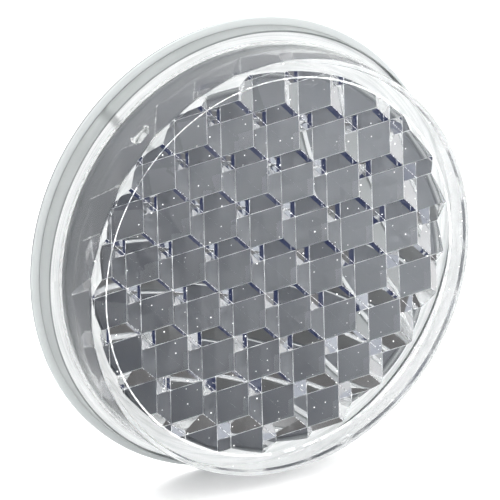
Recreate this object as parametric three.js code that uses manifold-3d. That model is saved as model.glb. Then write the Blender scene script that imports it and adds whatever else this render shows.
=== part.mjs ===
// Round sealed triple-mirror reflector (a survey and sensor target), in millimetres.
//
// The reflector stands upright. Its optical axis is the Y axis and its front looks along -Y.
// +Z is up, and the origin is the centre of the flat rear face that is stuck to a plate or wall.
// Distances called "depth" are measured from the front rim towards the rear.

import * as THREE from 'three';
import { mergeVertices } from 'three/addons/utils/BufferGeometryUtils.js';
import Module from 'manifold-3d';

// Driving dimensions
const OVERALL_DEPTH = 8.0;
const BODY_RADIUS = 18.3;
const FLANGE_RADIUS = 19.22;
const COVER_RADIUS = 19.85;
const WALL_THICKNESS = 1.64;
const COVER_THICKNESS = 0.62;
const FLANGE_THICKNESS = 1.75;

const WINDOW_DEPTH = 0.43;
const LAND_STEP = 0.1;
const LAND_BEVEL = 0.16;
const BEAD_WIDTH = 0.5;
const BEAD_SLOPE = 0.1;
const RIM_EDGE_RADIUS = 0.16;
const SHOULDER_WIDTH = 0.5;
const SHOULDER_HEIGHT = 0.8;
const FLANGE_EDGE_RADIUS = 0.14;
const COVER_FRONT_EDGE_RADIUS = 0.1;
const COVER_REAR_EDGE_RADIUS = 0.4;

const CELL_PITCH = 4.5;
const CELL_TURN = -12;
const CELL_CENTRE_X = -0.12;
const CELL_CENTRE_Z = -0.1;
const WINDOW_THICKNESS = 0.6;

const BOSS_HEIGHT = 0.6;
const BOSS_CLEARANCE = 0.3;
const WELD_GAP = 0.05;

const GATE_ANGLE = 133;
const GATE_DEPTH = 1.93;
const GATE_RADIUS = 0.7;
const GATE_HEIGHT = 0.35;

const WEB_OVERLAP = 0.1;
const WALL_OVERLAP = 0.3;
const APEX_CLEARANCE = 1;
const ROUND_SEGMENTS = 120;
const ARC_STEPS = 4;
const STUB_SEGMENTS = 16;
const STUB_RINGS = 10;
const MERGE_DISTANCE = 1e-5;

// Derived dimensions
const CAVITY_RADIUS = BODY_RADIUS - WALL_THICKNESS;
const CUBE_EDGE = CELL_PITCH / Math.SQRT2;
const LEVEL_HEIGHT = CELL_PITCH / Math.sqrt(6);
const VALLEY_DEPTH = WINDOW_DEPTH + WINDOW_THICKNESS;
const APEX_DEPTH = VALLEY_DEPTH + 2 * LEVEL_HEIGHT;
const LAND_DEPTH = WINDOW_DEPTH - LAND_STEP;
const BEAD_INNER_RADIUS = BODY_RADIUS - BEAD_WIDTH;
const COVER_FRONT_DEPTH = OVERALL_DEPTH - COVER_THICKNESS;
const LENS_REAR_DEPTH = COVER_FRONT_DEPTH - WELD_GAP;
const FLANGE_FRONT_DEPTH = LENS_REAR_DEPTH - FLANGE_THICKNESS;
const WEB_DEPTH = VALLEY_DEPTH - WEB_OVERLAP;
const CUBES_START_DEPTH = WEB_DEPTH - WEB_OVERLAP;

const wasm = await Module();
wasm.setup();

function toSolid(geometry) {
  const bare = geometry.clone();
  bare.deleteAttribute('normal');
  bare.deleteAttribute('uv');
  const merged = mergeVertices(bare, MERGE_DISTANCE);
  const mesh = new wasm.Mesh({
    numProp: 3,
    vertProperties: new Float32Array(merged.attributes.position.array),
    triVerts: new Uint32Array(merged.index.array),
  });
  return new wasm.Manifold(mesh);
}

function toGeometry(solid) {
  const mesh = solid.getMesh();
  const geometry = new THREE.BufferGeometry();
  geometry.setAttribute('position', new THREE.BufferAttribute(mesh.vertProperties, mesh.numProp));
  geometry.setIndex(new THREE.BufferAttribute(mesh.triVerts, 1));
  return geometry;
}

// A point of a turned profile: radius from the optical axis, and depth behind the front rim.
function profilePoint(radius, depth) {
  return new THREE.Vector2(radius, depth - OVERALL_DEPTH);
}

// Points of a quarter round: width is its size across the axis, height its size along the axis.
function arcPoints(centreRadius, centreDepth, width, height, fromDegrees, toDegrees) {
  const points = [];
  for (let step = 0; step <= ARC_STEPS; step += 1) {
    const angle = THREE.MathUtils.degToRad(
      THREE.MathUtils.lerp(fromDegrees, toDegrees, step / ARC_STEPS),
    );
    points.push(
      profilePoint(
        centreRadius + width * Math.cos(angle),
        centreDepth + height * Math.sin(angle),
      ),
    );
  }
  return points;
}

function turned(points) {
  return toSolid(new THREE.LatheGeometry(points, ROUND_SEGMENTS));
}

// The clear shell: a thin window, the flat land and raised bead round it, the side wall, and the
// rear flange with its rounded shoulder.
function shellSolid() {
  return turned([
    profilePoint(0, WINDOW_DEPTH),
    profilePoint(CAVITY_RADIUS - LAND_BEVEL, WINDOW_DEPTH),
    profilePoint(CAVITY_RADIUS, LAND_DEPTH),
    profilePoint(BEAD_INNER_RADIUS, LAND_DEPTH),
    profilePoint(BEAD_INNER_RADIUS + BEAD_SLOPE, 0),
    ...arcPoints(
      BODY_RADIUS - RIM_EDGE_RADIUS,
      RIM_EDGE_RADIUS,
      RIM_EDGE_RADIUS,
      RIM_EDGE_RADIUS,
      -90,
      0,
    ),
    ...arcPoints(
      BODY_RADIUS + SHOULDER_WIDTH,
      FLANGE_FRONT_DEPTH - SHOULDER_HEIGHT,
      SHOULDER_WIDTH,
      SHOULDER_HEIGHT,
      180,
      90,
    ),
    ...arcPoints(
      FLANGE_RADIUS - FLANGE_EDGE_RADIUS,
      FLANGE_FRONT_DEPTH + FLANGE_EDGE_RADIUS,
      FLANGE_EDGE_RADIUS,
      FLANGE_EDGE_RADIUS,
      -90,
      0,
    ),
    profilePoint(FLANGE_RADIUS, LENS_REAR_DEPTH),
    profilePoint(CAVITY_RADIUS, LENS_REAR_DEPTH),
    profilePoint(CAVITY_RADIUS, WEB_DEPTH),
    profilePoint(0, WEB_DEPTH),
  ]);
}

// Cube axes, each pointing rearwards to the corner that forms an apex.
function cubeAxis(turnDegrees) {
  const angle = THREE.MathUtils.degToRad(turnDegrees + CELL_TURN);
  const across = Math.sqrt(2 / 3);
  return new THREE.Vector3(-across * Math.cos(angle), 1 / Math.sqrt(3), -across * Math.sin(angle));
}

// The field of corner cubes. Every cube has twice the visible edge, so neighbours merge into one
// solid whose rear surface is a closed pattern of square mirror facets.
function prismFieldSolid() {
  const boxEdge = 2 * CUBE_EDGE;
  const reach = Math.ceil((CAVITY_RADIUS + CELL_PITCH) / CELL_PITCH) + 1;
  const cubes = [];
  for (let i = -reach; i <= reach; i += 1) {
    for (let j = -reach; j <= reach; j += 1) {
      const k = -i - j;
      const distance = CUBE_EDGE * Math.sqrt(i * i + j * j + k * k);
      if (distance <= CAVITY_RADIUS + CELL_PITCH) {
        const box = new THREE.BoxGeometry(boxEdge, boxEdge, boxEdge);
        box.translate(
          i * CUBE_EDGE - boxEdge / 2,
          j * CUBE_EDGE - boxEdge / 2,
          k * CUBE_EDGE - boxEdge / 2,
        );
        cubes.push(toSolid(box));
      }
    }
  }
  const field = toGeometry(wasm.Manifold.union(cubes));
  const frame = new THREE.Matrix4().makeBasis(cubeAxis(150), cubeAxis(30), cubeAxis(-90));
  frame.setPosition(CELL_CENTRE_X, APEX_DEPTH - OVERALL_DEPTH, CELL_CENTRE_Z);
  field.applyMatrix4(frame);
  const limits = turned([
    profilePoint(0, CUBES_START_DEPTH),
    profilePoint(CAVITY_RADIUS + WALL_OVERLAP, CUBES_START_DEPTH),
    profilePoint(CAVITY_RADIUS + WALL_OVERLAP, APEX_DEPTH + APEX_CLEARANCE),
    profilePoint(0, APEX_DEPTH + APEX_CLEARANCE),
  ]);
  return toSolid(field).intersect(limits);
}

// The trimmed stub that the moulding gate leaves on the side wall.
function gateStubSolid() {
  const angle = THREE.MathUtils.degToRad(GATE_ANGLE);
  const stub = new THREE.SphereGeometry(GATE_RADIUS, STUB_SEGMENTS, STUB_RINGS);
  stub.scale(GATE_HEIGHT / GATE_RADIUS, 1, 1);
  stub.rotateY(-angle);
  stub.translate(
    BODY_RADIUS * Math.cos(angle),
    GATE_DEPTH - OVERALL_DEPTH,
    BODY_RADIUS * Math.sin(angle),
  );
  return toSolid(stub);
}

function lensGeometry() {
  return toGeometry(shellSolid().add(prismFieldSolid()).add(gateStubSolid()));
}

// The rear cover: a flat grey plate with a locating boss that drops into the lens cavity.
function coverGeometry() {
  const bossRadius = CAVITY_RADIUS - BOSS_CLEARANCE;
  return toGeometry(
    turned([
      profilePoint(0, COVER_FRONT_DEPTH - BOSS_HEIGHT),
      profilePoint(bossRadius, COVER_FRONT_DEPTH - BOSS_HEIGHT),
      profilePoint(bossRadius, COVER_FRONT_DEPTH),
      ...arcPoints(
        COVER_RADIUS - COVER_FRONT_EDGE_RADIUS,
        COVER_FRONT_DEPTH + COVER_FRONT_EDGE_RADIUS,
        COVER_FRONT_EDGE_RADIUS,
        COVER_FRONT_EDGE_RADIUS,
        -90,
        0,
      ),
      ...arcPoints(
        COVER_RADIUS - COVER_REAR_EDGE_RADIUS,
        OVERALL_DEPTH - COVER_REAR_EDGE_RADIUS,
        COVER_REAR_EDGE_RADIUS,
        COVER_REAR_EDGE_RADIUS,
        0,
        90,
      ),
      profilePoint(0, OVERALL_DEPTH),
    ]),
  );
}

const clearPlastic = new THREE.MeshStandardMaterial({
  color: 0xdfe6e6,
  roughness: 0.05,
  metalness: 0,
  transparent: true,
  opacity: 0.4,
});

const greyPlastic = new THREE.MeshStandardMaterial({
  color: 0x9a9fa3,
  roughness: 0.5,
  metalness: 0,
});

function namedMesh(name, geometry, material) {
  geometry.computeVertexNormals();
  const mesh = new THREE.Mesh(geometry, material);
  mesh.name = name;
  return mesh;
}

const reflector = new THREE.Group();
reflector.add(namedMesh('prism_lens', lensGeometry(), clearPlastic));
reflector.add(namedMesh('rear_cover', coverGeometry(), greyPlastic));

export default reflector;
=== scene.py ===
"""Looks of a round clear-plastic triple-mirror reflector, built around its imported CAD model.

The optical axis is the Y axis, the window looks along -Y, and +Z is up. Lengths are named in
millimetres and turned into metres where Blender gets them. A depth is measured from the front rim
towards the rear.
"""

import math

import bmesh
import bpy
import numpy as np
from mathutils import Matrix, Vector


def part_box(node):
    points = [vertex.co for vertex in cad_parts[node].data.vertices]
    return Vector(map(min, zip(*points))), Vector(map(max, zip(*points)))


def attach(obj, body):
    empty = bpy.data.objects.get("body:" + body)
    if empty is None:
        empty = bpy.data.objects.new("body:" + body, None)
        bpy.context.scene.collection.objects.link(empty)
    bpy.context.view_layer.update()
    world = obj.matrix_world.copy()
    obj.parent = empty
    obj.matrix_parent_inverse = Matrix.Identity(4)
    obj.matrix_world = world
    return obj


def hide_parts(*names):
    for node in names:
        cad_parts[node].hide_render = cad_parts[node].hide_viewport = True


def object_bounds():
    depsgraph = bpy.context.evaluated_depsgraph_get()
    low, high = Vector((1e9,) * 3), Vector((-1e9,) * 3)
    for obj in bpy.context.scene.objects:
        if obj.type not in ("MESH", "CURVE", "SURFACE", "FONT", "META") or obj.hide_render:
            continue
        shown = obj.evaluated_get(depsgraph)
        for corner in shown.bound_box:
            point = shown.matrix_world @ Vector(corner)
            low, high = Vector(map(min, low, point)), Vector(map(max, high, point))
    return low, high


MM = 0.001

# Camera, at the photograph's viewing angle
VIEW_AZIMUTH = math.radians(-29.5)
VIEW_ELEVATION = math.radians(19.7)
CAMERA_DISTANCE = 531.0
FRAME_WIDTH = 41.86
AIM_RIGHT = -2.544
AIM_UP = 1.481
SENSOR_WIDTH = 36.0
CLIP_START = 10.0

# Lens
BODY_RADIUS = 18.3
WALL_THICKNESS = 1.64
WINDOW_DEPTH = 0.43
WINDOW_THICKNESS = 0.6
LAND_STEP = 0.1
LAND_BEVEL = 0.16
BEAD_WIDTH = 0.5
BEAD_SLOPE = 0.1
RIM_EDGE_RADIUS = 0.16
SHOULDER_WIDTH = 0.5
SHOULDER_HEIGHT = 0.8
FLANGE_THICKNESS = 1.75
FLANGE_EDGE_RADIUS = 0.14
CELL_PITCH = 4.5
CELL_TURN = -12.0
CELL_CENTRE = (-0.12, -0.1)
FACET_EDGE_WIDTH = 0.03
GATE_ANGLE = math.radians(133.0)
GATE_DEPTH = 1.93
GATE_RADIUS = 0.85
GATE_HEIGHT = 0.5
GATE_RINGS = 12

# Rear cover
COVER_THICKNESS = 0.62
COVER_FRONT_EDGE_RADIUS = 0.1
COVER_REAR_EDGE_RADIUS = 0.4
BOSS_HEIGHT = 0.6
BOSS_CLEARANCE = 0.3
BOSS_EDGE_RADIUS = 0.1

# Fineness of the meshes. Corners that agree to KEY_DECIMALS decimals of a millimetre are one vertex.
ROUND_STEPS = 480
SMALL_ARC_STEPS = 4
FLANGE_ARC_STEPS = 6
LARGE_ARC_STEPS = 8
SHOULDER_ARC_STEPS = 12
KEY_DECIMALS = 4
SHARP_ANGLE = math.radians(25.0)

# Places of the lens's materials in its material list
CLEAR, WELD, MILKY = 0, 1, 2

# Clear acrylic. A fade is a pair of distances short of an edge: where it starts, where it ends.
# Each cell of the dust pattern holds one speck or none. The largest speck's radius is in cell
# widths, and DUST_REACH is how far behind the window's surface specks are still drawn.
ACRYLIC_IOR = 1.49
CLEAR_COLOUR = (0.985, 0.992, 1.0, 1.0)
# The flange's side is tinted grey, with darker lines along its rounded edges and at the seam: painted
# shade on clear plastic.
FLANGE_SIDE_SHADE_COLOUR = (0.38, 0.405, 0.405, 1.0)
FLANGE_LINE_SHADE_COLOUR = (0.10, 0.11, 0.11, 1.0)
FLANGE_SIDE_FADE = (0.2, 0.17)
CORNER_LINE_FADE = (0.08, 0.03)
SEAM_LINE_FADE = (0.2, 0.1)
FLANGE_SIDE_ROUGHNESS = 0.5
WALL_FADE = (0.3, 0.1)
WALL_ROUGHNESS = 0.16
DUST_COLOUR = (0.9, 0.9, 0.9, 1.0)
DUST_CELLS_PER_METRE = 900.0
DUST_CLEAN_SHARE = 0.55
DUST_LARGEST_RADIUS = 0.06
DUST_REACH = 0.1
SMUDGES_PER_METRE = 160.0
SMUDGE_LIMITS = (0.55, 0.8)
SMUDGE_ROUGHNESS = 0.02

# Weld. Its noise has many waves along the radius and few round the axis, which gives fine rings.
# The gate mark's core is the share of its width that is fully grey.
WELD_DULL_COLOUR = (0.80, 0.82, 0.81, 1.0)
WELD_WHITE_COLOUR = (0.985, 0.99, 0.985, 1.0)
WELD_WAVES_PER_METRE = 4000.0
WELD_WAVES_PER_RADIAN = 3.0
WELD_STREAK_LIMITS = (0.36, 0.56)
WELD_ROUGHNESS = (0.45, 0.7)
GATE_MARK_COLOUR = (0.35, 0.36, 0.36, 1.0)
GATE_MARK_STRENGTH = 0.7
GATE_MARK_WIDTH = math.radians(1.6)
GATE_MARK_CORE = 0.4

# Milky edges of the facets and of the window
MILKY_DULL_COLOUR = (0.9, 0.92, 0.94, 1.0)
MILKY_WHITE_COLOUR = (1.0, 1.0, 1.0, 1.0)
MILKY_GRAINS_PER_METRE = 3600.0
MILKY_LIMITS = (0.45, 0.58)
MILKY_ROUGHNESS = 0.35

# Grey plastic, in painted light and shade. The boss is painted dark as in the cavity's shade, with
# random clouds, and painted lighter from side to side, towards the right and top; the slant says how
# much of the height counts beside the width.
BOSS_DARKEST_SHADE_COLOUR = (0.092, 0.098, 0.109, 1.0)
BOSS_PALEST_SHADE_COLOUR = (0.23, 0.24, 0.255, 1.0)
BOSS_CLOUDS_PER_METRE = 90.0
BOSS_PAINTED_LIGHT_SLANT = 0.8
BOSS_PAINTED_LIGHT_REACH = 18.0
BOSS_PAINTED_LIGHT_STRENGTH = 0.5
# Painted light: the cover's lip is painted pale, as if lit
LIP_PAINTED_LIGHT_COLOUR = (0.38, 0.40, 0.40, 1.0)
LIP_FADE = (0.2, 0.0)
# Painted shade: the rear face is painted darker than the lip, against the strong light from above and
# behind
REAR_PAINTED_SHADE_COLOUR = (0.15, 0.157, 0.163, 1.0)
REAR_FADE = (0.5, 0.35)
PLASTIC_GRAINS_PER_METRE = 6000.0
PLASTIC_GRAIN_HEIGHT = 0.01
PLASTIC_ROUGHNESS = (0.4, 0.6)

# Floor
FLOOR_RADIUS = 320.0
FLOOR_STEPS = 96
FLOOR_DULL_COLOUR = (0.88, 0.88, 0.88, 1.0)
FLOOR_BRIGHT_COLOUR = (0.92, 0.92, 0.92, 1.0)
FLOOR_GRAINS_PER_METRE = 900.0
FLOOR_ROUGHNESS = 0.9

# What matte faces are lit by. A direction is about 1 long, and a spread is a pair of cosines of
# the angle to it: where its light, or its darkness, starts and where it is full.
LEFT_LIGHT = 0.4
RIGHT_LIGHT = 2.2
FRONT_LIGHT = 4.0
FRONT_DIRECTION = (0.05, -0.98, 0.20)
FRONT_SPREAD = (0.45, 0.95)
OVERHEAD_LIGHT = 5.5
OVERHEAD_DIRECTION = (0.10, 0.53, 0.84)
OVERHEAD_SPREAD = (0.65, 0.97)

# What polished faces see: walls, a dark opening in front, and colours below the horizon. Low
# directions point a little downwards, and under directions steeply. The pairs of heights, and the
# pair for the change from rear to front, are components of a direction of length 1.
LEFT_WALL = 0.9
RIGHT_WALL = 0.8
OPENING_BRIGHTNESS = 0.15
OPENING_DIRECTION = (-0.25, -0.95, 0.20)
OPENING_SPREAD = (0.70, 0.86)
LOW_FRONT_COLOUR = (0.02, 0.03, 0.09, 1.0)
LOW_REAR_COLOUR = (0.75, 0.76, 0.77, 1.0)
UNDER_FRONT_COLOUR = (0.62, 0.65, 0.70, 1.0)
UNDER_REAR_COLOUR = (0.15, 0.145, 0.14, 1.0)
HORIZON_HEIGHTS = (-0.15, 0.0)
UNDER_HEIGHTS = (-0.74, -0.56)
REAR_TO_FRONT = (-0.15, 0.15)

# What the camera sees behind the object
BACKDROP_COLOUR = (1.0, 1.0, 1.0, 1.0)

# Light is followed through many facets before it is given up
CLEAR_BOUNCES = 32
GLOSSY_BOUNCES = 16

# Colour sockets of Blender's Mix node, which repeats its socket names for each data type
MIX_FIRST, MIX_SECOND, MIX_RESULT = 6, 7, 2

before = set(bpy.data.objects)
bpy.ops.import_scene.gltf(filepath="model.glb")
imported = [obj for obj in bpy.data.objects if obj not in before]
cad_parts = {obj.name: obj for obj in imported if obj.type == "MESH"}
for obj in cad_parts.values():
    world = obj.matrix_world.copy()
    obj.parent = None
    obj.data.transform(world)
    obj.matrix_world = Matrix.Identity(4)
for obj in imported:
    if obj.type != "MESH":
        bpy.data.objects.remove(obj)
cad_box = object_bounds()
lens_low, lens_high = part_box("prism_lens")
_, cover_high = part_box("rear_cover")

DEPTH = -lens_low.y / MM
FLANGE_RADIUS = lens_high.x / MM
LENS_REAR = DEPTH + lens_high.y / MM
COVER_RADIUS = cover_high.x / MM
CAVITY_RADIUS = BODY_RADIUS - WALL_THICKNESS
VALLEY_DEPTH = WINDOW_DEPTH + WINDOW_THICKNESS
LEVEL_HEIGHT = CELL_PITCH / math.sqrt(6)
APEX_DEPTH = VALLEY_DEPTH + 2 * LEVEL_HEIGHT

# Polygons smaller than this, in square millimetres, are the flats along the edges of facets
LARGEST_EDGE_AREA = CELL_PITCH * FACET_EDGE_WIDTH * 3


def spot(radius, angle, depth):
    """A point of the reflector: radius and angle about the optical axis, depth behind the rim."""
    return (radius * math.cos(angle), depth - DEPTH, radius * math.sin(angle))


def arc(centre, width, height, start, end, steps):
    """Profile points (radius, depth) on a round, angles in degrees."""
    points = []
    for i in range(steps + 1):
        a = math.radians(start + (end - start) * i / steps)
        points.append((centre[0] + width * math.cos(a), centre[1] + height * math.sin(a)))
    return points


def mesh_object(name, verts, faces):
    """An object from vertices in millimetres, smooth apart from its sharp edges."""
    mesh = bpy.data.meshes.new(name)
    mesh.from_pydata([tuple(c * MM for c in v) for v in verts], [], faces)
    mesh.validate()
    bm = bmesh.new()
    bm.from_mesh(mesh)
    bmesh.ops.recalc_face_normals(bm, faces=bm.faces)
    bm.to_mesh(mesh)
    bm.free()
    mesh.shade_smooth()
    mesh.set_sharp_from_angle(angle=SHARP_ANGLE)
    obj = bpy.data.objects.new(name, mesh)
    bpy.context.scene.collection.objects.link(obj)
    return obj


# ---- The field of corner cubes ----


def apex_points():
    """Places of the cube corners, in the plane across the optical axis."""
    turn = math.radians(CELL_TURN)
    first = Vector((math.cos(turn), math.sin(turn))) * CELL_PITCH
    second = Vector((math.cos(turn - math.pi / 3), math.sin(turn - math.pi / 3))) * CELL_PITCH
    spare_rows = 2
    reach = math.ceil(CAVITY_RADIUS / CELL_PITCH) + spare_rows
    points = []
    for i in range(-reach, reach + 1):
        for j in range(-reach, reach + 1):
            p = first * i + second * j + Vector(CELL_CENTRE)
            if p.length < CAVITY_RADIUS + CELL_PITCH:
                points.append(p)
    return points


def facet_field():
    """All square facets of the array, with narrow flats along their edges: polygon, material."""
    bm = bmesh.new()
    found = {}

    def corner(x, z, depth):
        key = (round(x, KEY_DECIMALS), round(z, KEY_DECIMALS))
        if key not in found:
            found[key] = bm.verts.new((x, depth, z))
        return found[key]

    # Three squares meet at each apex, 120 degrees apart. The other corners of a square stand
    # 60 degrees apart: the outer two lie one level in front of the apex, the middle one two.
    corner_distance = CELL_PITCH / math.sqrt(3)
    for apex in apex_points():
        for side in range(3):
            ring = []
            for step in range(3):
                angle = math.radians(CELL_TURN - 90 + side * 120 + step * 60)
                level = 2 if step == 1 else 1
                ring.append(
                    corner(
                        apex.x + corner_distance * math.cos(angle),
                        apex.y + corner_distance * math.sin(angle),
                        APEX_DEPTH - level * LEVEL_HEIGHT,
                    )
                )
            bm.faces.new([corner(apex.x, apex.y, APEX_DEPTH), *ring])
    bmesh.ops.recalc_face_normals(bm, faces=bm.faces)
    bmesh.ops.bevel(
        bm,
        geom=[e for e in bm.edges if len(e.link_faces) == 2],
        offset=FACET_EDGE_WIDTH,
        offset_type="OFFSET",
        segments=1,
        profile=0.5,
        affect="EDGES",
        clamp_overlap=True,
    )
    bmesh.ops.triangulate(bm, faces=[f for f in bm.faces if len(f.verts) > 4])
    # The bevel's faces come in another order each run, so each starts at its first corner by place
    # and all are sorted by place
    polygons = []
    for face in bm.faces:
        number = MILKY if face.calc_area() < LARGEST_EDGE_AREA else CLEAR
        corners = [tuple(v.co) for v in face.verts]
        first = corners.index(min(corners))
        polygons.append((corners[first:] + corners[:first], number))
    bm.free()
    return sorted(polygons)


def clipped(polygon, normals):
    """The polygon cut to the round outline, whose chords have these outward normals."""
    limit = CAVITY_RADIUS * math.cos(math.pi / len(normals))
    points = np.array(polygon)
    if np.hypot(points[:, 0], points[:, 2]).max() < limit:
        return polygon
    for nx, nz in normals:
        if len(points) == 0:
            return []
        over = points[:, 0] * nx + points[:, 2] * nz - limit
        if over.max() <= 0:
            continue
        kept = []
        for i in range(len(points)):
            n = (i + 1) % len(points)
            if over[i] <= 0:
                kept.append(points[i])
            if (over[i] <= 0) != (over[n] <= 0):
                kept.append(points[i] + (points[n] - points[i]) * (over[i] / (over[i] - over[n])))
        points = np.array(kept)
    return [tuple(p) for p in points]


def trimmed_field():
    """Vertices, faces and material numbers of the facets inside the round cavity."""
    chord_angles = [(i + 0.5) * 2 * math.pi / ROUND_STEPS for i in range(ROUND_STEPS)]
    normals = [(math.cos(a), math.sin(a)) for a in chord_angles]
    verts, faces, numbers, found = [], [], [], {}
    for polygon, number in facet_field():
        face = []
        for x, depth, z in clipped(polygon, normals):
            key = (round(x, KEY_DECIMALS), round(z, KEY_DECIMALS))
            if key not in found:
                found[key] = len(verts)
                verts.append((x, depth, z))
            if not face or (face[-1] != found[key] and face[0] != found[key]):
                face.append(found[key])
        if len(face) >= 3:
            faces.append(face)
            numbers.append(number)
    return verts, faces, numbers


def border_loop(faces):
    """The closed chain of vertices along the open edge of a sheet of faces."""
    # A dict keeps the edges in order, so that each run starts the chain at the same vertex
    edges = dict.fromkeys((a, b) for face in faces for a, b in zip(face, face[1:] + face[:1]))
    nexts = {a: b for a, b in edges if (b, a) not in edges}
    start = next(iter(nexts))
    loop = [start]
    while nexts[loop[-1]] != start:
        loop.append(nexts[loop[-1]])
    return loop


# ---- The lens moulding ----


def lens_profile():
    """Outer section of the lens from the cavity's rear edge round to the window's edge."""
    front = LENS_REAR - FLANGE_THICKNESS
    edge = FLANGE_EDGE_RADIUS
    rim = RIM_EDGE_RADIUS
    shoulder = (BODY_RADIUS + SHOULDER_WIDTH, front - SHOULDER_HEIGHT)
    bead = BODY_RADIUS - BEAD_WIDTH
    wall = [GATE_DEPTH + GATE_RADIUS * (1 - 2 * i / GATE_RINGS) for i in range(GATE_RINGS + 1)]
    return [
        (CAVITY_RADIUS, LENS_REAR),
        *arc((FLANGE_RADIUS - edge, LENS_REAR - edge), edge, edge, 90, 0, SMALL_ARC_STEPS),
        *arc((FLANGE_RADIUS - edge, front + edge), edge, edge, 0, -90, FLANGE_ARC_STEPS),
        *arc(shoulder, SHOULDER_WIDTH, SHOULDER_HEIGHT, 90, 180, SHOULDER_ARC_STEPS),
        *[(BODY_RADIUS, depth) for depth in wall],
        *arc((BODY_RADIUS - rim, rim), rim, rim, 0, -90, LARGE_ARC_STEPS),
        (bead + BEAD_SLOPE, 0),
        (bead, WINDOW_DEPTH - LAND_STEP),
        (CAVITY_RADIUS, WINDOW_DEPTH - LAND_STEP),
        (CAVITY_RADIUS - LAND_BEVEL, WINDOW_DEPTH),
    ]


def gate_bump(radius, angle, depth):
    """How far the side wall stands out at the trimmed gate stub."""
    if radius != BODY_RADIUS:
        return 0.0
    across = (angle - GATE_ANGLE) * BODY_RADIUS / GATE_RADIUS
    along = (depth - GATE_DEPTH) / GATE_RADIUS
    return GATE_HEIGHT * math.sqrt(max(0.0, 1 - (across * across + along * along) ** 2))


def prism_lens():
    """The whole moulding: the facets, then rings of faces round to the flat window."""
    verts, faces, numbers = trimmed_field()
    verts = [(x, depth - DEPTH, z) for x, depth, z in verts]
    last = border_loop(faces)
    count = len(last)
    angles = [math.atan2(verts[i][2], verts[i][0]) for i in last]
    profile = lens_profile()
    # The second point ends the flange's flat rear, and the last one the bevel round the window
    kinds = {1: WELD, len(profile) - 1: MILKY}
    for place, (radius, depth) in enumerate(profile):
        ring = list(range(len(verts), len(verts) + count))
        verts.extend(spot(radius + gate_bump(radius, a, depth), a, depth) for a in angles)
        for i in range(count):
            n = (i + 1) % count
            faces.append([last[n], last[i], ring[i], ring[n]])
            numbers.append(kinds.get(place, CLEAR))
        last = ring
    faces.append(list(reversed(last)))
    numbers.append(CLEAR)
    obj = mesh_object("prism_lens_fine", verts, faces)
    obj.data.polygons.foreach_set("material_index", numbers)
    return obj


# ---- The rear cover ----


def turned_object(name, profile):
    """A solid of revolution. The profile starts and ends on the optical axis."""
    verts, faces = [], []
    angles = [i * 2 * math.pi / ROUND_STEPS for i in range(ROUND_STEPS)]
    rings = []
    for radius, depth in profile[1:-1]:
        rings.append(list(range(len(verts), len(verts) + ROUND_STEPS)))
        verts.extend(spot(radius, a, depth) for a in angles)
    for one, two in zip(rings, rings[1:]):
        for i in range(ROUND_STEPS):
            n = (i + 1) % ROUND_STEPS
            faces.append([one[i], one[n], two[n], two[i]])
    faces.append(list(reversed(rings[0])))
    faces.append(rings[-1])
    return mesh_object(name, verts, faces)


def rear_cover():
    """The flat grey plate with its rounded lip and the locating boss inside the cavity."""
    front = DEPTH - COVER_THICKNESS
    boss = CAVITY_RADIUS - BOSS_CLEARANCE
    edge = BOSS_EDGE_RADIUS
    small, large = COVER_FRONT_EDGE_RADIUS, COVER_REAR_EDGE_RADIUS
    return turned_object(
        "rear_cover_fine",
        [
            (0, front - BOSS_HEIGHT),
            *arc((boss - edge, front - BOSS_HEIGHT + edge), edge, edge, -90, 0, SMALL_ARC_STEPS),
            (boss, front),
            *arc((COVER_RADIUS - small, front + small), small, small, -90, 0, SMALL_ARC_STEPS),
            *arc((COVER_RADIUS - large, DEPTH - large), large, large, 0, 90, LARGE_ARC_STEPS),
            (0, DEPTH),
        ],
    )


# ---- Materials ----


class Nodes:
    """Short ways to add and join nodes in a node tree."""

    def __init__(self, tree):
        self.tree = tree

    def add(self, kind, values=()):
        """A new node with these values in its first sockets, by place."""
        node = self.tree.nodes.new("ShaderNode" + kind)
        for socket, value in zip(node.inputs, values):
            self.put(socket, value)
        return node

    def put(self, socket, value):
        """Link another node's output to a socket, or set the socket's own value."""
        if isinstance(value, bpy.types.NodeSocket):
            self.tree.links.new(value, socket)
        else:
            socket.default_value = value

    def ramp(self, value, start, end, low, high, interpolation="LINEAR"):
        """Low up to the start, high from the end on, and an even change between them."""
        node = self.add("MapRange", (value, start, end, low, high))
        node.interpolation_type = interpolation
        return node.outputs["Result"]

    def mix(self, factor, first, second):
        """The first colour at factor 0 and the second at factor 1."""
        node = self.add("Mix")
        node.data_type = "RGBA"
        self.put(node.inputs["Factor"], factor)
        self.put(node.inputs[MIX_FIRST], first)
        self.put(node.inputs[MIX_SECOND], second)
        return node.outputs[MIX_RESULT]


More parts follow.
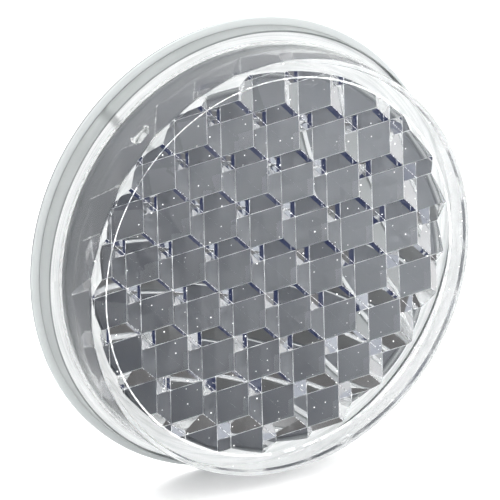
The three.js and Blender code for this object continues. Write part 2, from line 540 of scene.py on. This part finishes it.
class Shader(Nodes):
    """A Principled material and the nodes that its looks are made of."""

    def __init__(self, name):
        self.material = bpy.data.materials.new(name)
        self.material.use_nodes = True
        super().__init__(self.material.node_tree)
        self.principled = self.tree.nodes["Principled BSDF"]
        self.place = self.add("TexCoord").outputs["Object"]

    def set(self, name, value):
        """Put a value into a socket of the Principled shader."""
        self.put(self.principled.inputs[name], value)

    def maths(self, operation, first, second=0.0):
        """The result of a Math node."""
        node = self.add("Math", (first, second))
        node.operation = operation
        return node.outputs[0]

    def noise(self, scale, detail=2.0, place=None):
        """Grey noise from 0 to 1; scale is in waves per metre, or per unit of another place."""
        node = self.add("TexNoise")
        self.put(node.inputs["Vector"], place or self.place)
        self.put(node.inputs["Scale"], scale)
        self.put(node.inputs["Detail"], detail)
        return node.outputs["Fac"]

    def fade(self, value, edge, distances, low=0.0, high=1.0):
        """A ramp of a value in metres, between two distances in millimetres short of an edge."""
        start, end = distances
        return self.ramp(value, (edge - start) * MM, (edge - end) * MM, low, high)

    def split(self):
        """X, Y and Z of the place on the object, in metres."""
        return self.add("SeparateXYZ", (self.place,)).outputs

    def join(self, x, y):
        """A place in a flat pattern."""
        return self.add("CombineXYZ", (x, y)).outputs[0]

    def bump(self, height, distance):
        """A normal bent by a height from 0 to 1, whose full height is the distance in metres."""
        node = self.add("Bump")
        self.put(node.inputs["Height"], height)
        self.put(node.inputs["Distance"], distance)
        self.put(node.inputs["Strength"], 1.0)
        return node.outputs["Normal"]

    def axis_radius(self):
        """Distance from the optical axis, in metres."""
        x, _, z = self.split()
        squares = (self.maths("MULTIPLY", x, x), self.maths("MULTIPLY", z, z))
        return self.maths("SQRT", self.maths("ADD", *squares))


def dust(shader):
    """1 on dust specks on the window, 0 elsewhere."""
    x, y, z = shader.split()
    cells = shader.add("TexVoronoi")
    cells.voronoi_dimensions = "2D"
    shader.put(cells.inputs["Vector"], shader.join(x, z))
    shader.put(cells.inputs["Scale"], DUST_CELLS_PER_METRE)
    chance = shader.add("SeparateColor", (cells.outputs["Color"],)).outputs["Red"]
    size = shader.ramp(chance, DUST_CLEAN_SHARE, 1.0, 0.0, DUST_LARGEST_RADIUS)
    speck = shader.maths("LESS_THAN", cells.outputs["Distance"], size)
    on_window = shader.maths("LESS_THAN", y, (WINDOW_DEPTH + DUST_REACH - DEPTH) * MM)
    return shader.maths("MULTIPLY", speck, on_window)


def clear_acrylic():
    """Polished clear plastic with dust specks and faint smudges, and the flange's side tinted grey
    with darker lines along its edges and seam, as painted shade.
    """
    shader = Shader("clear_acrylic")
    _, y, _ = shader.split()
    specks = dust(shader)
    radius = shader.axis_radius()
    flange_side = shader.fade(radius, FLANGE_RADIUS, FLANGE_SIDE_FADE)
    corner_line = shader.fade(radius, FLANGE_RADIUS, CORNER_LINE_FADE, 1.0, 0.0)
    seam_line = shader.fade(y, LENS_REAR - DEPTH, SEAM_LINE_FADE)
    lines = shader.maths("MAXIMUM", corner_line, seam_line)
    # Painted shade: the flange's side tinted grey, with darker lines along its edges and seam
    side_shade = shader.mix(lines, FLANGE_SIDE_SHADE_COLOUR, FLANGE_LINE_SHADE_COLOUR)
    colour = shader.mix(flange_side, CLEAR_COLOUR, side_shade)
    shader.set("Base Color", shader.mix(specks, colour, DUST_COLOUR))
    shader.set("Transmission Weight", shader.maths("SUBTRACT", 1.0, specks))
    wall = shader.fade(radius, BODY_RADIUS, WALL_FADE, 0.0, WALL_ROUGHNESS)
    side = shader.maths("MULTIPLY", flange_side, FLANGE_SIDE_ROUGHNESS)
    smudges = shader.ramp(shader.noise(SMUDGES_PER_METRE), *SMUDGE_LIMITS, 0.0, SMUDGE_ROUGHNESS)
    rough = shader.maths("MAXIMUM", shader.maths("MAXIMUM", wall, side), smudges)
    shader.set("Roughness", shader.maths("MAXIMUM", specks, rough))
    shader.set("IOR", ACRYLIC_IOR)
    return shader.material


def weld_face():
    """The frosted white weld at the lens's rear, with fine rings and a grey mark behind the gate."""
    shader = Shader("weld_face")
    x, _, z = shader.split()
    angle = shader.maths("ARCTAN2", z, x)
    along_radius = shader.maths("MULTIPLY", shader.axis_radius(), WELD_WAVES_PER_METRE)
    round_axis = shader.maths("MULTIPLY", angle, WELD_WAVES_PER_RADIAN)
    rings = shader.noise(1.0, place=shader.join(along_radius, round_axis))
    streak = shader.ramp(rings, *WELD_STREAK_LIMITS, 0.0, 1.0)
    white = shader.mix(streak, WELD_DULL_COLOUR, WELD_WHITE_COLOUR)
    off_gate = shader.maths("ABSOLUTE", shader.maths("SUBTRACT", angle, GATE_ANGLE))
    core = GATE_MARK_WIDTH * GATE_MARK_CORE
    mark = shader.ramp(off_gate, core, GATE_MARK_WIDTH, GATE_MARK_STRENGTH, 0.0)
    shader.set("Base Color", shader.mix(mark, white, GATE_MARK_COLOUR))
    shader.set("Roughness", shader.ramp(rings, 0.0, 1.0, *WELD_ROUGHNESS))
    shader.set("IOR", ACRYLIC_IOR)
    return shader.material


def facet_edges():
    """The narrow flats along the edges of the facets and of the window, milky in grains."""
    shader = Shader("facet_edges")
    grain = shader.noise(MILKY_GRAINS_PER_METRE, detail=1.0)
    shader.set("Base Color", shader.mix(grain, MILKY_DULL_COLOUR, MILKY_WHITE_COLOUR))
    shader.set("Transmission Weight", shader.ramp(grain, *MILKY_LIMITS, 1.0, 0.0))
    shader.set("Roughness", MILKY_ROUGHNESS)
    shader.set("IOR", ACRYLIC_IOR)
    return shader.material


def grey_plastic():
    """Matte grey moulded plastic with random clouds, in painted light and shade: a boss painted dark
    as in shade and lighter to the right and top, a lip painted pale as if lit, and a rear face
    painted darker against the strong light from above and behind.
    """
    shader = Shader("grey_plastic")
    x, y, z = shader.split()
    slanted = shader.maths("ADD", x, shader.maths("MULTIPLY", z, BOSS_PAINTED_LIGHT_SLANT))
    reach = BOSS_PAINTED_LIGHT_REACH * MM
    # Painted light: the boss grows lighter towards the right and top
    painted_light_drift = shader.ramp(slanted, -reach, reach, -BOSS_PAINTED_LIGHT_STRENGTH, BOSS_PAINTED_LIGHT_STRENGTH)
    clouds_and_painted_light = shader.maths("ADD", shader.noise(BOSS_CLOUDS_PER_METRE), painted_light_drift)
    # Painted shade: the boss inside the cavity is painted dark
    boss = shader.mix(clouds_and_painted_light, BOSS_DARKEST_SHADE_COLOUR, BOSS_PALEST_SHADE_COLOUR)
    # Painted light: the lip, outside the cavity, is painted pale
    lip = shader.fade(shader.axis_radius(), CAVITY_RADIUS, LIP_FADE)
    # Painted shade: the rear face is painted darker
    rear = shader.fade(y, 0.0, REAR_FADE)
    shader.set("Base Color", shader.mix(rear, shader.mix(lip, boss, LIP_PAINTED_LIGHT_COLOUR), REAR_PAINTED_SHADE_COLOUR))
    grain = shader.noise(PLASTIC_GRAINS_PER_METRE)
    shader.set("Roughness", shader.ramp(grain, 0.0, 1.0, *PLASTIC_ROUGHNESS))
    shader.set("Normal", shader.bump(grain, PLASTIC_GRAIN_HEIGHT * MM))
    return shader.material


def floor_paint():
    """Matte pale paint with a faint grain."""
    shader = Shader("floor")
    grain = shader.noise(FLOOR_GRAINS_PER_METRE)
    shader.set("Base Color", shader.mix(grain, FLOOR_DULL_COLOUR, FLOOR_BRIGHT_COLOUR))
    shader.set("Roughness", FLOOR_ROUGHNESS)
    return shader.material


# ---- Stage, light and camera ----


def floor():
    """A round pale table top. It is seen directly, but not through or in polished faces."""
    radius = FLOOR_RADIUS * MM
    height = cad_box[0][2]
    angles = [i * 2 * math.pi / FLOOR_STEPS for i in range(FLOOR_STEPS)]
    verts = [(radius * math.cos(a), radius * math.sin(a), height) for a in angles]
    mesh = bpy.data.meshes.new("floor")
    mesh.from_pydata(verts, [], [list(range(FLOOR_STEPS))])
    mesh.materials.append(floor_paint())
    obj = bpy.data.objects.new("floor", mesh)
    bpy.context.scene.collection.objects.link(obj)
    obj.visible_transmission = False
    obj.visible_glossy = False


def studio_world():
    """A white backdrop for the camera, soft light for matte faces, a plain room for polished ones."""
    world = bpy.data.worlds.new("studio")
    bpy.context.scene.world = world
    world.use_nodes = True
    world.cycles.sampling_method = "NONE"
    nodes = Nodes(world.node_tree)
    looked_at = nodes.add("TexCoord").outputs["Generated"]

    def along(direction):
        """How far the looked-at direction points along another one."""
        node = nodes.add("VectorMath", (looked_at, direction))
        node.operation = "DOT_PRODUCT"
        return node.outputs["Value"]

    def change(value, limits, low=0.0, high=1.0):
        """Low up to the first limit, high from the second on, and smooth between them."""
        return nodes.ramp(value, *limits, low, high, "SMOOTHSTEP")

    rightwards = along((1.0, 0.0, 0.0))
    forwards = along((0.0, -1.0, 0.0))
    upwards = along((0.0, 0.0, 1.0))

    sides = change(rightwards, (-1.0, 1.0), LEFT_LIGHT, RIGHT_LIGHT)
    front = change(along(FRONT_DIRECTION), FRONT_SPREAD, sides, FRONT_LIGHT)
    lights = change(along(OVERHEAD_DIRECTION), OVERHEAD_SPREAD, front, OVERHEAD_LIGHT)

    walls = change(rightwards, (-1.0, 1.0), LEFT_WALL, RIGHT_WALL)
    room = change(along(OPENING_DIRECTION), OPENING_SPREAD, walls, OPENING_BRIGHTNESS)
    in_front = change(forwards, REAR_TO_FRONT)
    low = nodes.mix(in_front, LOW_REAR_COLOUR, LOW_FRONT_COLOUR)
    under = nodes.mix(in_front, UNDER_REAR_COLOUR, UNDER_FRONT_COLOUR)
    below = nodes.mix(change(upwards, UNDER_HEIGHTS), under, low)
    polished = nodes.mix(change(upwards, HORIZON_HEIGHTS), below, room)

    # Diffuse Depth is 0 for what polished faces see, and 1 or more for what lights matte ones
    path = nodes.add("LightPath").outputs
    around = nodes.mix(path["Diffuse Depth"], polished, lights)
    seen = nodes.mix(path["Is Camera Ray"], around, BACKDROP_COLOUR)
    nodes.put(nodes.tree.nodes["Background"].inputs["Color"], seen)


def camera():
    """The scene's camera, aimed beside the window's centre as the photograph is framed."""
    across = Vector((math.cos(VIEW_AZIMUTH), math.sin(VIEW_AZIMUTH), 0))
    level = math.cos(VIEW_ELEVATION)
    towards = Vector((across.y * level, -across.x * level, math.sin(VIEW_ELEVATION)))
    up = towards.cross(across)
    window_centre = Vector((0, WINDOW_DEPTH - DEPTH, 0))
    target = window_centre + across * AIM_RIGHT + up * AIM_UP
    place = (target + towards * CAMERA_DISTANCE) * MM
    data = bpy.data.cameras.new("camera")
    data.sensor_width = SENSOR_WIDTH
    data.lens = SENSOR_WIDTH * CAMERA_DISTANCE / FRAME_WIDTH
    data.clip_start = CLIP_START * MM
    obj = bpy.data.objects.new("camera", data)
    bpy.context.scene.collection.objects.link(obj)
    turn = Matrix((across, up, towards)).transposed().to_4x4()
    obj.matrix_world = Matrix.Translation(place) @ turn
    bpy.context.scene.camera = obj


camera()
floor()
studio_world()

scene = bpy.context.scene
scene.view_settings.view_transform = "Standard"
scene.cycles.max_bounces = CLEAR_BOUNCES
scene.cycles.transmission_bounces = CLEAR_BOUNCES
scene.cycles.glossy_bounces = GLOSSY_BOUNCES

# The lens's materials stand in the order of CLEAR, WELD and MILKY
for piece, node, slot, materials in (
    (prism_lens(), "prism_lens", "clear_acrylic", (clear_acrylic(), weld_face(), facet_edges())),
    (rear_cover(), "rear_cover", "grey_plastic", (grey_plastic(),)),
):
    for material in materials:
        piece.data.materials.append(material)
    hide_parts(node)
    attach(piece, "root")
